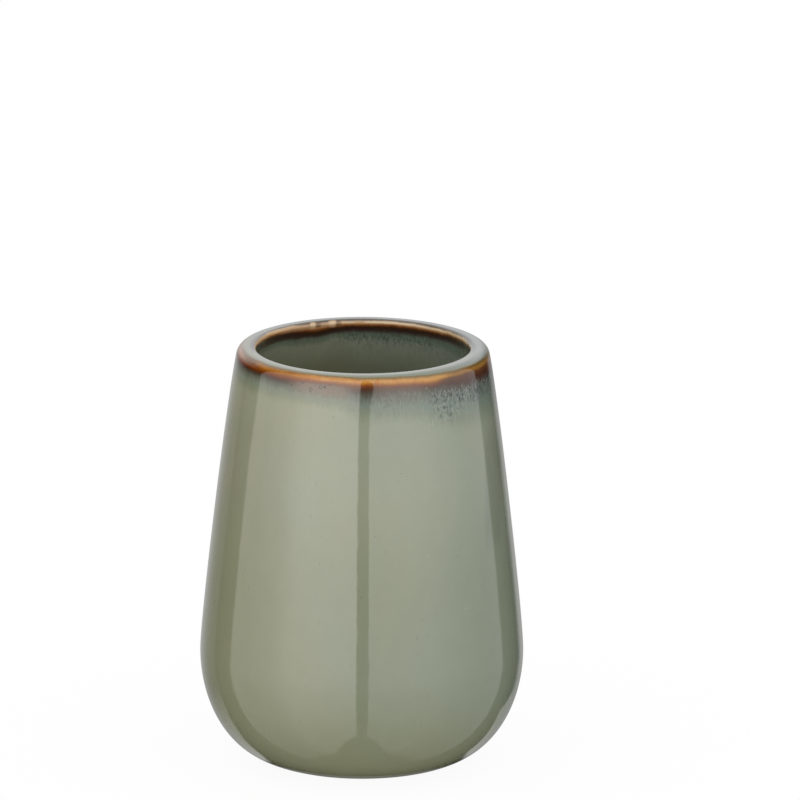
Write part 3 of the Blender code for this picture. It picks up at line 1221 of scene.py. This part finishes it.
def hang_panels():
    """A great dome that only glossy rays see, with the panels and the wall drawn by direction."""
    shape = bmesh.new()
    bmesh.ops.create_icosphere(shape, subdivisions=3, radius=ROOM_RADIUS)
    mesh = bpy.data.meshes.new("panels")
    shape.to_mesh(mesh)
    shape.free()
    material, start = empty_finish("panel_light")
    material.cycles.emission_sampling = "NONE"
    place = start.node("ShaderNodeTexCoord", out="Object")
    way = place.node("ShaderNodeVectorMath", {"operation": "NORMALIZE"}, {0: place})
    side = way.node("ShaderNodeSeparateXYZ", None, {0: way})
    turn = way.math("ARCTAN2", side, -side.beside("Y")) * math.degrees(1.0)
    rise = way.math("ARCSINE", side.beside("Z")) * math.degrees(1.0)
    on_left = turn.rise(1.0, -1.0)
    wall = by_degrees(rise, FULL_RISE, WALL_UP_AND_DOWN)
    lit = shown(wall_share(turn, rise, on_left), panel_tones(turn, rise, on_left), wall)
    lit = shown(rise.rise(*OVERHEAD_STARTS), lit, OVERHEAD)
    glow = way.node("ShaderNodeEmission", None, {"Color": lit, "Strength": PANEL_STRENGTH})
    way.node("ShaderNodeOutputMaterial", None, {"Surface": glow})
    dome = put_up("panels", mesh, material)
    hide_but_from_gloss(dome)


FLOOR_HALF = 3.0
FLOOR_COLOUR = (0.92, 0.92, 0.92, 1.0)
FLOOR_WHITE_SHARE = 0.94
FLOOR_GLOW_SHARE = 0.40


def lay_floor():
    corners = [(x * FLOOR_HALF, y * FLOOR_HALF, 0.0) for x, y in ((-1, -1), (1, -1), (1, 1), (-1, 1))]
    mesh = bpy.data.meshes.new("floor")
    mesh.from_pydata(corners, [], [(0, 1, 2, 3)])
    material, start = empty_finish("pale_floor")
    seen = seen_white(start)
    plain = seen.node("ShaderNodeBsdfDiffuse", None, {"Color": FLOOR_COLOUR})
    white = seen.node("ShaderNodeEmission", None, {"Color": WHITE, "Strength": 1.0})
    share = shown_value(seen, FLOOR_GLOW_SHARE, FLOOR_WHITE_SHARE)
    mixed = seen.node("ShaderNodeMixShader", None, {0: share, 1: plain, 2: white})
    seen.node("ShaderNodeOutputMaterial", None, {"Surface": mixed})
    floor = put_up("floor", mesh, material)
    floor.visible_glossy = False


SHADE_RADIUS = 0.0265
SHADE_HEIGHT = 0.0002
SHADE_SIDES = 96
SHADE_LEVEL = 0.135


def lay_shade():
    """The dark patch of floor under the cup, for the glaze's mirror images only."""
    shape = bmesh.new()
    bmesh.ops.create_circle(shape, cap_ends=True, segments=SHADE_SIDES, radius=SHADE_RADIUS)
    bmesh.ops.translate(shape, verts=shape.verts, vec=(0.0, 0.0, SHADE_HEIGHT))
    mesh = bpy.data.meshes.new("shade_under_cup")
    shape.to_mesh(mesh)
    shape.free()
    material, start = empty_finish("deep_shade")
    dark = start.node("ShaderNodeEmission", None, {"Strength": SHADE_LEVEL})
    dark.node("ShaderNodeOutputMaterial", None, {"Surface": dark})
    shade = put_up("shade_under_cup", mesh, material)
    hide_but_from_gloss(shade)


light_room()
hang_panels()
lay_floor()
lay_shade()
bpy.context.scene.view_settings.view_transform = "Standard"

# The camera
# A long lens two metres off, a little above the cup's rim, level but for a third of a degree.

AIM_HEIGHT = 0.052
CAMERA_DISTANCE = 2.0
CAMERA_RISE = math.radians(15.843)
CAMERA_ROLL = math.radians(0.324)
LENS = 364.7
SENSOR = 36.0
IMAGE_SIDE = 800
AIM_PIXEL = (361.98, 553.57)


def stand_camera():
    data = bpy.data.cameras.new("camera")
    data.lens = LENS
    data.sensor_width = SENSOR
    camera = bpy.data.objects.new("camera", data)
    bpy.context.scene.collection.objects.link(camera)
    aim = Vector((0.0, 0.0, AIM_HEIGHT))
    back = Vector((0.0, -math.cos(CAMERA_RISE), math.sin(CAMERA_RISE)))
    camera.location = aim + back * CAMERA_DISTANCE
    metres_a_pixel = CAMERA_DISTANCE * SENSOR / LENS / IMAGE_SIDE
    axes = camera_axes(back)
    centre = (
        aim
        + axes[0] * (IMAGE_SIDE / 2 - AIM_PIXEL[0]) * metres_a_pixel
        + axes[1] * (AIM_PIXEL[1] - IMAGE_SIDE / 2) * metres_a_pixel
    )
    right, up, back = camera_axes((camera.location - centre).normalized())
    camera.rotation_euler = Matrix((right, up, back)).transposed().to_euler()
    bpy.context.scene.camera = camera


def camera_axes(back):
    """The rolled camera's right, up and back for the way that it looks from."""
    right = Vector((0.0, 0.0, 1.0)).cross(back).normalized()
    up = back.cross(right)
    turn = Matrix.Rotation(CAMERA_ROLL, 3, back)
    return turn @ right, turn @ up, back


stand_camera()
